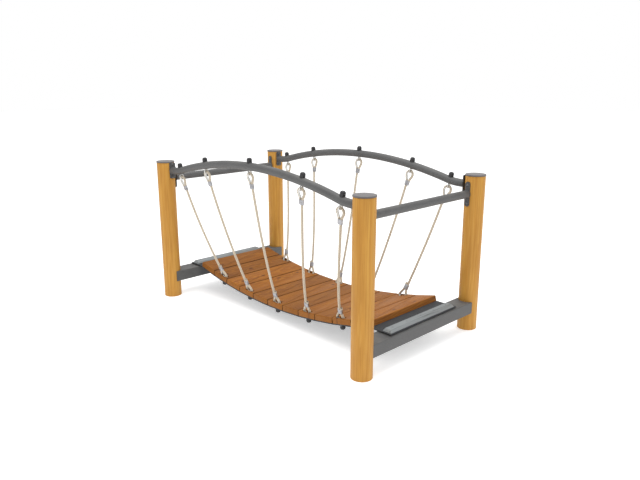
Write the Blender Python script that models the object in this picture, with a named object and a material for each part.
"""Low suspension footbridge for a playground.

Four round posts carry two arched handrails, two end rails and two end beams.
A rubber belt is clamped to the end beams and sags between them. Eleven planks
lie on the belt, and ten ropes hang every second plank from the handrails.

+X runs along the bridge, +Y across it, +Z up. The origin is on the ground in
the middle of the four posts. All sizes are in metres.
"""
import math

import bmesh
import bpy
from mathutils import Matrix, Vector
from mathutils.geometry import interpolate_bezier

CONTACT_GAP = 0.0003
LEVEL_TOLERANCE = 1e-6
WELD_DISTANCE = 0.00001
SMOOTH_ANGLE = math.radians(35)

# Posts
POST_SPACING_X = 1.857
POST_SPACING_Y = 1.000
POST_DIAMETER = 0.120
POST_TOP = 0.972
POST_SEGMENTS = 40
POST_EDGE_BEVEL = 0.004
POST_CAP_DIAMETER = 0.124
POST_CAP_THICKNESS = 0.0085
POST_CAP_BEVEL = 0.003

# Handrails
TUBE_DIAMETER = 0.0483
TUBE_SIDES = 12
TUBE_INSET = 0.015
ARCH_CROWN_Z = 1.0285
ARCH_RADIUS = 2.85
ARCH_HALF_LENGTH = 0.735
REVERSE_BEND_RADIUS = 0.42
END_SLOPE = 0.03
ARCH_STEPS = 10
REVERSE_STEPS = 4
PLATE_THICKNESS = 0.005
PLATE_EDGE_STEPS = 4
HANDRAIL_PLATE_WIDTH = 0.045
HANDRAIL_PLATE_HEIGHT = 0.108
HANDRAIL_PLATE_CORNER = 0.010
HANDRAIL_PLATE_Z = 0.917

# End rails
END_RAIL_Z = 0.864
END_RAIL_PLATE_WIDTH = 0.034
END_RAIL_PLATE_HEIGHT = 0.150
END_RAIL_PLATE_CORNER = 0.015
END_RAIL_PLATE_INSET = 0.012

# End beams
BEAM_INNER_OFFSET = 0.0655
BEAM_OUTER_OFFSET = 0.0505
BEAM_BOTTOM_Z = 0.112
BEAM_TOP_Z = 0.187
BEAM_EDGE_BEVEL = 0.004
BEAM_EDGE_STEPS = 2

# Deck
PLANK_COUNT = 11
PLANK_PITCH = 0.150
PLANK_GAP = 0.0055
PLANK_LENGTH = 0.620
PLANK_THICKNESS = 0.035
PLANK_BEVEL = 0.005
DECK_SAG_RATE = 0.155
BELT_THICKNESS = 0.008
BELT_CENTRE_Z = 0.092
BELT_LIP_X = 0.965
CLAMP_BAR_LENGTH = 0.600
CLAMP_BAR_BASE = 0.064
CLAMP_BAR_TOP = 0.040
CLAMP_BAR_HEIGHT = 0.018

# Ropes and their fittings
ROPE_RADIUS = 0.008
ROPE_SIDES = 8
ROPE_SAG = 0.013
ROPE_RUN_STEPS = 6
HANGER_X = (-0.759, -0.459, 0.0, 0.459, 0.759)
ANCHOR_X = (-0.573, -0.287, 0.0, 0.287, 0.573)
ANCHOR_Y = 0.2825
LOOP_RADIUS = 0.0245
LOOP_HALF_ANGLE = math.radians(115)
LOOP_STEPS = 8
LOOP_LEG_OFFSET = 0.0085
FERRULE_DISTANCE = 0.041
FERRULE_LENGTH = 0.032
FERRULE_HALF_WIDTH = 0.0175
FERRULE_HALF_DEPTH = 0.0105
FERRULE_SEGMENTS = 12
LEG_INSERT = 0.010
ROPE_INSERT = 0.012
EYE_RADIUS = 0.013
EYE_WIRE_RADIUS = 0.0035
EYE_STEPS = 12
EYE_WIRE_STEPS = 6
EYE_SEAT = 0.0008
HANGER_EYE_DROP = 0.0385
ANCHOR_EYE_DEPTH = 0.0257
SHANK_RADIUS = 0.006
SHANK_SEGMENTS = 8
SHANK_REACH = 0.005
CAP_RADIUS = 0.0165
CAP_HEIGHT = 0.029
CAP_SEGMENTS = 10
CAP_SINK = 0.001
CAP_OVERLAP = 0.0005
CAP_SHOULDER = 0.55
CAP_RINGS = ((0.85, 0.82), (1.00, 0.45))
WASHER_RADIUS = 0.021
WASHER_THICKNESS = 0.003
WASHER_SEGMENTS = 12
SLOT_HALF_LENGTH = 0.038
SLOT_HALF_WIDTH = 0.0146
SLOT_OUTWARD_SHIFT = 0.0048
SLOT_ROUNDING = 0.95
SLOT_EDGE_STEPS = 3
EYE_HOLE_RADIUS = 0.0185
BELT_HOLE_RADIUS = 0.0178
HOLE_SEGMENTS = 12

POST_X = POST_SPACING_X / 2
POST_Y = POST_SPACING_Y / 2
POST_RADIUS = POST_DIAMETER / 2
TUBE_RADIUS = TUBE_DIAMETER / 2
HANDRAIL_Y = POST_Y - TUBE_INSET
END_RAIL_X = POST_X - TUBE_INSET
PLATE_INNER = POST_RADIUS + CONTACT_GAP
PLATE_OUTER = PLATE_INNER + PLATE_THICKNESS
SIDES = {"near": -1, "far": 1}
ENDS = {"left": -1, "right": 1}


def clear_scene():
    for obj in list(bpy.data.objects):
        bpy.data.objects.remove(obj, do_unlink=True)


def make_material(name, colour, roughness, metallic):
    material = bpy.data.materials.new(name)
    material.use_nodes = True
    shader = material.node_tree.nodes["Principled BSDF"]
    shader.inputs["Base Color"].default_value = (*colour, 1.0)
    shader.inputs["Roughness"].default_value = roughness
    shader.inputs["Metallic"].default_value = metallic
    return material


def make_materials():
    return {
        "post_wood": make_material("post_wood", (0.60, 0.32, 0.09), 0.60, 0.0),
        "plank_wood": make_material("plank_wood", (0.42, 0.19, 0.07), 0.65, 0.0),
        "grey_steel": make_material("grey_steel", (0.15, 0.15, 0.145), 0.45, 0.3),
        "cap_steel": make_material("cap_steel", (0.22, 0.21, 0.23), 0.45, 0.3),
        "belt_rubber": make_material("belt_rubber", (0.04, 0.045, 0.05), 0.80, 0.0),
        "clamp_metal": make_material("clamp_metal", (0.36, 0.38, 0.38), 0.35, 0.9),
        "rope_fibre": make_material("rope_fibre", (0.60, 0.47, 0.32), 0.90, 0.0),
        "anchor_steel": make_material("anchor_steel", (0.10, 0.10, 0.10), 0.40, 0.6),
    }


def add_mesh_object(name, bm, material=None):
    mesh = bpy.data.meshes.new(name)
    bmesh.ops.recalc_face_normals(bm, faces=bm.faces[:])
    bm.to_mesh(mesh)
    bm.free()
    mesh.shade_smooth()
    mesh.set_sharp_from_angle(angle=SMOOTH_ANGLE)
    if material:
        mesh.materials.append(material)
    obj = bpy.data.objects.new(name, mesh)
    bpy.context.scene.collection.objects.link(obj)
    return obj


def apply_modifiers(obj):
    """Replace an object's mesh by its evaluated shape and drop its modifiers."""
    bpy.context.view_layer.update()
    depsgraph = bpy.context.evaluated_depsgraph_get()
    shaped = bpy.data.meshes.new_from_object(obj.evaluated_get(depsgraph))
    shaped.name = obj.name
    obj.modifiers.clear()
    obj.data = shaped


def combine(obj, others, operation):
    """Unite each of the other solids with obj, or cut it from obj, and remove it."""
    for other in others:
        modifier = obj.modifiers.new(operation.lower(), "BOOLEAN")
        modifier.operation = operation
        modifier.solver = "EXACT"
        modifier.object = other
        other.hide_render = True
        other.display_type = "WIRE"
    apply_modifiers(obj)
    for other in others:
        bpy.data.objects.remove(other, do_unlink=True)


def frame_matrix(origin, axis_x, axis_z):
    """Placement with its Z along axis_z and its X as near axis_x as it can be."""
    z = Vector(axis_z).normalized()
    x = Vector(axis_x)
    x = (x - z * x.dot(z)).normalized()
    y = z.cross(x)
    matrix = Matrix((x, y, z)).transposed().to_4x4()
    matrix.translation = origin
    return matrix


def cylinder(radius, low, high, segments, scale_y=1.0):
    bm = bmesh.new()
    bmesh.ops.create_cone(bm, cap_ends=True, segments=segments, radius1=radius,
                          radius2=radius, depth=high - low)
    bmesh.ops.scale(bm, vec=(1.0, scale_y, 1.0), verts=bm.verts[:])
    bmesh.ops.translate(bm, vec=(0.0, 0.0, (low + high) / 2), verts=bm.verts[:])
    return bm


def box(low, high):
    bm = bmesh.new()
    bmesh.ops.create_cube(bm, size=1.0)
    size = Vector(high) - Vector(low)
    bmesh.ops.scale(bm, vec=size, verts=bm.verts[:])
    bmesh.ops.translate(bm, vec=Vector(low) + size / 2, verts=bm.verts[:])
    return bm


def bevel_edges(bm, edges, width, segments=1):
    bmesh.ops.bevel(bm, geom=edges, offset=width, offset_type="OFFSET",
                    segments=segments, profile=0.5, affect="EDGES", material=-1)


def rim_edges(bm, above):
    """Level edges of an upright solid that lie higher than the height above."""
    level = [e for e in bm.edges if abs(e.verts[0].co.z - e.verts[1].co.z) < LEVEL_TOLERANCE]
    return [edge for edge in level if edge.verts[0].co.z > above]


def extrude_outline(points, width):
    """Solid with an outline in the XZ plane and its width along Y, half on each side."""
    bm = bmesh.new()
    face = bm.faces.new([bm.verts.new(point) for point in points])
    bmesh.ops.translate(bm, vec=(0, -width / 2, 0), verts=bm.verts[:])
    made = bmesh.ops.extrude_face_region(bm, geom=[face])
    moved = [v for v in made["geom"] if isinstance(v, bmesh.types.BMVert)]
    bmesh.ops.translate(bm, vec=(0, width, 0), verts=moved)
    return bm


def tube_object(name, points, radius, sides, material=None):
    """Round bar through the points, with closed ends, as a mesh."""
    curve = bpy.data.curves.new(name, "CURVE")
    curve.dimensions = "3D"
    curve.bevel_depth = radius
    curve.bevel_resolution = (sides - 4) // 2
    curve.use_fill_caps = True
    curve.twist_mode = "MINIMUM"
    spline = curve.splines.new("POLY")
    spline.points.add(len(points) - 1)
    for place, point in zip(spline.points, points):
        place.co = (*point, 1.0)
    guide = bpy.data.objects.new(name + "_path", curve)
    bpy.context.scene.collection.objects.link(guide)
    bpy.context.view_layer.update()
    depsgraph = bpy.context.evaluated_depsgraph_get()
    mesh = bpy.data.meshes.new_from_object(guide.evaluated_get(depsgraph))
    bpy.data.objects.remove(guide, do_unlink=True)
    bm = bmesh.new()
    bm.from_mesh(mesh)
    bmesh.ops.remove_doubles(bm, verts=bm.verts[:], dist=WELD_DISTANCE)
    return add_mesh_object(name, bm, material)


def torus(major, minor, major_steps, minor_steps):
    """Ring about the X axis, made by turning a circle round it."""
    bm = bmesh.new()
    bmesh.ops.create_circle(bm, segments=minor_steps, radius=minor, cap_ends=False)
    bmesh.ops.translate(bm, vec=(0.0, major, 0.0), verts=bm.verts[:])
    bmesh.ops.spin(bm, geom=bm.verts[:] + bm.edges[:], cent=(0, 0, 0), axis=(1, 0, 0),
                   angle=2 * math.pi, steps=major_steps, use_merge=True, use_duplicate=False)
    bmesh.ops.remove_doubles(bm, verts=bm.verts[:], dist=WELD_DISTANCE)
    return bm


def domed_cap(direction):
    """Cap of a nut, standing on the plane z = 0 and pointing up or down."""
    bm = cylinder(CAP_RADIUS, 0.0, CAP_HEIGHT * CAP_SHOULDER, CAP_SEGMENTS)
    top = max(bm.faces, key=lambda face: face.calc_center_median().z)
    for height, share in CAP_RINGS:
        made = bmesh.ops.extrude_face_region(bm, geom=[top])
        ring = [v for v in made["geom"] if isinstance(v, bmesh.types.BMVert)]
        new_top = [f for f in made["geom"] if isinstance(f, bmesh.types.BMFace)][0]
        bmesh.ops.delete(bm, geom=[top], context="FACES_ONLY")
        for vert in ring:
            angle = math.atan2(vert.co.y, vert.co.x)
            vert.co = (CAP_RADIUS * share * math.cos(angle),
                       CAP_RADIUS * share * math.sin(angle), CAP_HEIGHT * height)
        top = new_top
    if direction < 0:
        bmesh.ops.rotate(bm, matrix=Matrix.Rotation(math.pi, 3, "X"), verts=bm.verts[:])
    return bm


def post_plate(width, height, corner, direction):
    """Flat plate with round corners, held against a post on the side of direction."""
    bm = box((PLATE_INNER, -width / 2, -height / 2), (PLATE_OUTER, width / 2, height / 2))
    corners = [e for e in bm.edges if abs(e.verts[0].co.x - e.verts[1].co.x) > LEVEL_TOLERANCE]
    bevel_edges(bm, corners, corner, PLATE_EDGE_STEPS)
    turn = Matrix.Rotation(math.atan2(direction[1], direction[0]), 3, "Z")
    bmesh.ops.rotate(bm, matrix=turn, verts=bm.verts[:])
    return add_mesh_object("plate", bm)


def handrail_path():
    """Centre line of an arched handrail as (x, z) points from its middle out to +X."""
    arc_angle = math.asin(ARCH_HALF_LENGTH / ARCH_RADIUS)
    points = []
    for step in range(ARCH_STEPS + 1):
        angle = arc_angle * step / ARCH_STEPS
        drop = ARCH_RADIUS * (1 - math.cos(angle))
        points.append((ARCH_RADIUS * math.sin(angle), ARCH_CROWN_Z - drop))
    start_x, start_z = points[-1]
    centre_x = start_x + REVERSE_BEND_RADIUS * math.sin(arc_angle)
    centre_z = start_z + REVERSE_BEND_RADIUS * math.cos(arc_angle)
    for step in range(1, REVERSE_STEPS + 1):
        angle = arc_angle + (END_SLOPE - arc_angle) * step / REVERSE_STEPS
        points.append((centre_x - REVERSE_BEND_RADIUS * math.sin(angle),
                       centre_z - REVERSE_BEND_RADIUS * math.cos(angle)))
    end_x = POST_X - (PLATE_INNER + PLATE_OUTER) / 2
    last_x, last_z = points[-1]
    points.append((end_x, last_z - (end_x - last_x) * math.tan(END_SLOPE)))
    return points


def handrail_point(x):
    """Point (x, z) of the handrail's centre line and its slope there."""
    path = handrail_path()
    span = abs(x)
    for (x0, z0), (x1, z1) in zip(path, path[1:]):
        if x0 <= span <= x1:
            share = (span - x0) / (x1 - x0)
            slope = math.atan2(z1 - z0, x1 - x0)
            side = 1 if x >= 0 else -1
            if span < ARCH_HALF_LENGTH:
                slope = -math.asin(span / ARCH_RADIUS)
            return z0 + share * (z1 - z0), slope * side
    raise ValueError("no handrail at this x")


def hanger_frame(x, side):
    """Place on the handrail's centre line, Z along the bolt and X along the tube."""
    z, slope = handrail_point(x)
    tangent = Vector((math.cos(slope), 0, math.sin(slope)))
    normal = Vector((-math.sin(slope), 0, math.cos(slope)))
    return frame_matrix(Vector((x, side * HANDRAIL_Y, z)), tangent, normal)


def belt_height(x):
    return BELT_CENTRE_Z + DECK_SAG_RATE * x * x


def deck_joint(index):
    x = PLANK_PITCH * (index - PLANK_COUNT / 2)
    return Vector((x, 0, belt_height(x)))


def plank_frame(index):
    """Middle of a plank's seat on the belt, X along the bridge and Z out of the deck."""
    first, second = deck_joint(index), deck_joint(index + 1)
    along = (second - first).normalized()
    normal = Vector((-along.z, 0, along.x))
    return frame_matrix((first + second) / 2 + normal * CONTACT_GAP, along, normal)


def plank_index(x):
    return int(math.floor(x / PLANK_PITCH + PLANK_COUNT / 2))


def anchor_frame(x, side):
    """Place on a plank's top face over an anchor, Z out of the deck."""
    seat = plank_frame(plank_index(x))
    slope = math.atan2(seat.col[0].z, seat.col[0].x)
    reach = (x - seat.translation.x + PLANK_THICKNESS * math.sin(slope)) / math.cos(slope)
    local = Vector((reach, side * ANCHOR_Y, PLANK_THICKNESS))
    place = seat.copy()
    place.translation = seat @ local
    return place


def rope_ends(x_top, x_foot, side):
    """Middle of a rope's upper and lower eye, the way the rope leaves it and its width."""
    hanger = hanger_frame(x_top, side)
    anchor = anchor_frame(x_foot, side)
    pin_top = hanger @ Vector((0, 0, -HANGER_EYE_DROP - EYE_SEAT))
    pin_foot = anchor @ Vector((0, 0, -ANCHOR_EYE_DEPTH + EYE_SEAT))
    chord = pin_foot - pin_top
    down = chord.normalized()
    along = Vector((1, 0, 0))
    lean = chord.cross(along).normalized() * -side * 4 * ROPE_SAG / chord.length
    ends = []
    for pin, bolt, away in ((pin_top, hanger.col[2].xyz, down + lean),
                            (pin_foot, -anchor.col[2].xyz, lean - down)):
        away.normalize()
        across = (along - away * along.dot(away)).normalized()
        normal = away.cross(across)
        reach = (bolt - normal * bolt.dot(normal)).normalized()
        ends.append((pin - reach * LOOP_RADIUS, away, across))
    return ends


def loop_path(centre, outward, across):
    """Drop-shaped centre line of a rope's eye, both ends inside its ferrule."""
    legs = FERRULE_DISTANCE + LEG_INSERT
    points = [centre - outward * legs - across * LOOP_LEG_OFFSET]
    points.append(centre - outward * FERRULE_DISTANCE - across * LOOP_LEG_OFFSET)
    for step in range(LOOP_STEPS + 1):
        angle = LOOP_HALF_ANGLE * (2 * step / LOOP_STEPS - 1)
        points.append(centre + outward * LOOP_RADIUS * math.cos(angle)
                      + across * LOOP_RADIUS * math.sin(angle))
    points.append(centre - outward * FERRULE_DISTANCE + across * LOOP_LEG_OFFSET)
    points.append(centre - outward * legs + across * LOOP_LEG_OFFSET)
    return points


def build_posts(materials):
    for end, x_sign in ENDS.items():
        for side, y_sign in SIDES.items():
            place = Vector((x_sign * POST_X, y_sign * POST_Y, 0))
            bm = cylinder(POST_RADIUS, 0.0, POST_TOP, POST_SEGMENTS)
            bevel_edges(bm, rim_edges(bm, POST_TOP / 2), POST_EDGE_BEVEL)
            add_mesh_object(f"post_{end}_{side}", bm, materials["post_wood"]).location = place
            low = POST_TOP + CONTACT_GAP
            bm = cylinder(POST_CAP_DIAMETER / 2, low, low + POST_CAP_THICKNESS, POST_SEGMENTS)
            bevel_edges(bm, rim_edges(bm, low + POST_CAP_THICKNESS / 2), POST_CAP_BEVEL)
            add_mesh_object(f"post_cap_{end}_{side}", bm, materials["cap_steel"]).location = place


def build_hanger_parts(x, side):
    """Eye bolt through the handrail: shank, eye under the tube and cap on top."""
    place = hanger_frame(x, side)
    eye = add_mesh_object("eye", torus(EYE_RADIUS, EYE_WIRE_RADIUS, EYE_STEPS, EYE_WIRE_STEPS))
    eye.matrix_world = place @ Matrix.Translation((0, 0, -HANGER_EYE_DROP))
    low = -HANGER_EYE_DROP + EYE_RADIUS
    shank = add_mesh_object("shank", cylinder(SHANK_RADIUS, low, TUBE_RADIUS + SHANK_REACH,
                                              SHANK_SEGMENTS))
    shank.matrix_world = place
    cap = add_mesh_object("cap", domed_cap(1))
    cap.matrix_world = place @ Matrix.Translation((0, 0, TUBE_RADIUS - CAP_SINK))
    return [eye, shank, cap]


def build_handrails(materials):
    half = handrail_path()
    for side, y_sign in SIDES.items():
        outline = [(-x, z) for x, z in half[::-1]] + half[1:]
        points = [(x, y_sign * HANDRAIL_Y, z) for x, z in outline]
        rail = tube_object(f"handrail_{side}", points, TUBE_RADIUS, TUBE_SIDES,
                           materials["grey_steel"])
        fittings = []
        for x_sign in ENDS.values():
            plate = post_plate(HANDRAIL_PLATE_WIDTH, HANDRAIL_PLATE_HEIGHT,
                               HANDRAIL_PLATE_CORNER, (-x_sign, 0))
            plate.location = (x_sign * POST_X, y_sign * HANDRAIL_Y, HANDRAIL_PLATE_Z)
            fittings.append(plate)
        for x in HANGER_X:
            fittings += build_hanger_parts(x, y_sign)
        bpy.context.view_layer.update()
        combine(rail, fittings, "UNION")


def build_end_rails(materials):
    reach = POST_Y - (PLATE_INNER + PLATE_OUTER) / 2
    for end, x_sign in ENDS.items():
        x = x_sign * END_RAIL_X
        points = [(x, -reach, END_RAIL_Z), (x, reach, END_RAIL_Z)]
        rail = tube_object(f"end_rail_{end}", points, TUBE_RADIUS, TUBE_SIDES,
                           materials["grey_steel"])
        plates = []
        for y_sign in SIDES.values():
            plate = post_plate(END_RAIL_PLATE_WIDTH, END_RAIL_PLATE_HEIGHT,
                               END_RAIL_PLATE_CORNER, (0, -y_sign))
            plate.location = (x_sign * (POST_X - END_RAIL_PLATE_INSET), y_sign * POST_Y, END_RAIL_Z)
            plates.append(plate)
        bpy.context.view_layer.update()
        combine(rail, plates, "UNION")


def build_end_beams(materials):
    for end, x_sign in ENDS.items():
        inner = x_sign * (POST_X - BEAM_INNER_OFFSET)
        outer = x_sign * (POST_X + BEAM_OUTER_OFFSET)
        bm = box((min(inner, outer), -POST_Y, BEAM_BOTTOM_Z),
                 (max(inner, outer), POST_Y, BEAM_TOP_Z))
        long_edges = [e for e in bm.edges if abs(e.verts[0].co.y - e.verts[1].co.y) > POST_Y]
        bevel_edges(bm, long_edges, BEAM_EDGE_BEVEL, BEAM_EDGE_STEPS)
        beam = add_mesh_object(f"end_beam_{end}", bm, materials["grey_steel"])
        notches = []
        for y_sign in SIDES.values():
            notch = add_mesh_object("notch", cylinder(POST_RADIUS + CONTACT_GAP, 0.0, POST_TOP,
                                                      POST_SEGMENTS))
            notch.location = (x_sign * POST_X, y_sign * POST_Y, 0)
            notches.append(notch)
        bpy.context.view_layer.update()
        combine(beam, notches, "DIFFERENCE")


def belt_outline():
    """Upper line of the belt from lip to lip and the lower line one thickness below."""
    lip_z = BEAM_TOP_Z + CONTACT_GAP + BELT_THICKNESS
    rest_x = POST_X - BEAM_INNER_OFFSET + BELT_THICKNESS / 2
    upper = [Vector((-BELT_LIP_X, 0, lip_z)), Vector((-rest_x, 0, lip_z))]
    upper += [deck_joint(index) for index in range(PLANK_COUNT + 1)]
    upper += [Vector((rest_x, 0, lip_z)), Vector((BELT_LIP_X, 0, lip_z))]
    lower = []
    for index, point in enumerate(upper):
        before = (point - upper[max(index - 1, 0)]).normalized()
        after = (upper[min(index + 1, len(upper) - 1)] - point).normalized()
        along = (before + after).normalized()
        normal = Vector((-along.z, 0, along.x))
        spread = max(before.dot(along), after.dot(along))
        lower.append(point - normal * BELT_THICKNESS / spread)
    return upper + lower[::-1]


def build_belt(materials):
    bm = extrude_outline(belt_outline(), PLANK_LENGTH)
    belt = add_mesh_object("deck_belt", bm, materials["belt_rubber"])
    holes = []
    low = -PLANK_THICKNESS - 3 * BELT_THICKNESS
    for y_sign in SIDES.values():
        for x in ANCHOR_X:
            hole = add_mesh_object("hole", cylinder(BELT_HOLE_RADIUS, low, 0.0, HOLE_SEGMENTS))
            hole.matrix_world = anchor_frame(x, y_sign)
            holes.append(hole)
    bpy.context.view_layer.update()
    combine(belt, holes, "DIFFERENCE")


def build_clamp_bars(materials):
    low = BEAM_TOP_Z + BELT_THICKNESS + 2 * CONTACT_GAP
    for end, x_sign in ENDS.items():
        bm = box((-CLAMP_BAR_BASE / 2, -CLAMP_BAR_LENGTH / 2, 0),
                 (CLAMP_BAR_BASE / 2, CLAMP_BAR_LENGTH / 2, CLAMP_BAR_HEIGHT))
        slope = (CLAMP_BAR_BASE - CLAMP_BAR_TOP) / 2
        for vert in bm.verts:
            if vert.co.z > CLAMP_BAR_HEIGHT / 2:
                vert.co.x -= math.copysign(slope, vert.co.x)
                vert.co.y -= math.copysign(slope, vert.co.y)
        bar = add_mesh_object(f"clamp_bar_{end}", bm, materials["clamp_metal"])
        bar.location = (x_sign * POST_X, 0, low)


def slot_cutters(place, side):
    """Cutters for the slot that a rope's eye stands in and the round hole in its middle."""
    middle = side * SLOT_OUTWARD_SHIFT
    slot = box((-SLOT_HALF_LENGTH, middle - SLOT_HALF_WIDTH, -2 * PLANK_THICKNESS),
               (SLOT_HALF_LENGTH, middle + SLOT_HALF_WIDTH, PLANK_THICKNESS))
    upright = [e for e in slot.edges if abs(e.verts[0].co.z - e.verts[1].co.z) > PLANK_THICKNESS]
    bevel_edges(slot, upright, SLOT_HALF_WIDTH * SLOT_ROUNDING, SLOT_EDGE_STEPS)
    cutter = add_mesh_object("slot", slot)
    cutter.matrix_world = place
    hole = add_mesh_object("hole", cylinder(EYE_HOLE_RADIUS, -2 * PLANK_THICKNESS,
                                            PLANK_THICKNESS, HOLE_SEGMENTS))
    hole.matrix_world = place
    return [cutter, hole]


def build_planks(materials):
    slots = {plank_index(x): x for x in ANCHOR_X}
    for index in range(PLANK_COUNT):
        width = (deck_joint(index + 1) - deck_joint(index)).length - PLANK_GAP
        bm = box((-width / 2, -PLANK_LENGTH / 2, 0), (width / 2, PLANK_LENGTH / 2, PLANK_THICKNESS))
        top = [e for e in bm.edges if min(v.co.z for v in e.verts) > PLANK_THICKNESS / 2]
        bevel_edges(bm, top, PLANK_BEVEL)
        plank = add_mesh_object(f"plank_{index + 1:02d}", bm, materials["plank_wood"])
        plank.matrix_world = plank_frame(index)
        if index in slots:
            cutters = []
            for y_sign in SIDES.values():
                cutters += slot_cutters(anchor_frame(slots[index], y_sign), y_sign)
            bpy.context.view_layer.update()
            combine(plank, cutters, "DIFFERENCE")


def build_anchor(name, place, material):
    """Eye bolt in the deck: eye in the plank's slot, washer and cap under the belt."""
    eye = add_mesh_object(name, torus(EYE_RADIUS, EYE_WIRE_RADIUS, EYE_STEPS, EYE_WIRE_STEPS),
                          material)
    eye.matrix_world = place @ Matrix.Translation((0, 0, -ANCHOR_EYE_DEPTH))
    under_belt = -PLANK_THICKNESS - BELT_THICKNESS - 2 * CONTACT_GAP
    washer = add_mesh_object("washer", cylinder(WASHER_RADIUS, under_belt - WASHER_THICKNESS,
                                                under_belt, WASHER_SEGMENTS))
    shank = add_mesh_object("shank", cylinder(SHANK_RADIUS, under_belt - 2 * WASHER_THICKNESS,
                                              -ANCHOR_EYE_DEPTH - EYE_RADIUS, SHANK_SEGMENTS))
    cap = add_mesh_object("cap", domed_cap(-1))
    for piece in (washer, shank):
        piece.matrix_world = place
    cap_seat = under_belt - WASHER_THICKNESS + CAP_OVERLAP
    cap.matrix_world = place @ Matrix.Translation((0, 0, cap_seat))
    bpy.context.view_layer.update()
    combine(eye, [washer, shank, cap], "UNION")


def build_rope(name, ends, material):
    """One hanging rope: a run that sags a little, an eye at each end and the ferrules."""
    start = FERRULE_DISTANCE + LEG_INSERT + ROPE_INSERT
    top, foot = [centre + away * start for centre, away, _ in ends]
    grip = (foot - top).length / 3
    run = interpolate_bezier(top, top + ends[0][1] * grip, foot + ends[1][1] * grip, foot,
                             ROPE_RUN_STEPS + 1)
    rope = tube_object(name, run, ROPE_RADIUS, ROPE_SIDES, material)
    pieces = []
    for centre, away, across in ends:
        pieces.append(tube_object("eye", loop_path(centre, -away, across), ROPE_RADIUS,
                                  ROPE_SIDES))
        ferrule = cylinder(FERRULE_HALF_WIDTH, FERRULE_DISTANCE, FERRULE_DISTANCE + FERRULE_LENGTH,
                           FERRULE_SEGMENTS, FERRULE_HALF_DEPTH / FERRULE_HALF_WIDTH)
        sleeve = add_mesh_object("ferrule", ferrule)
        sleeve.matrix_world = frame_matrix(centre, across, away)
        pieces.append(sleeve)
    bpy.context.view_layer.update()
    combine(rope, pieces, "UNION")


def build_ropes(materials):
    for side, y_sign in SIDES.items():
        for index, (x_top, x_foot) in enumerate(zip(HANGER_X, ANCHOR_X), start=1):
            build_anchor(f"rope_anchor_{side}_{index}", anchor_frame(x_foot, y_sign),
                         materials["anchor_steel"])
            build_rope(f"rope_{side}_{index}", rope_ends(x_top, x_foot, y_sign),
                       materials["rope_fibre"])


def main():
    clear_scene()
    materials = make_materials()
    build_posts(materials)
    build_handrails(materials)
    build_end_rails(materials)
    build_end_beams(materials)
    build_belt(materials)
    build_clamp_bars(materials)
    build_planks(materials)
    build_ropes(materials)


main()
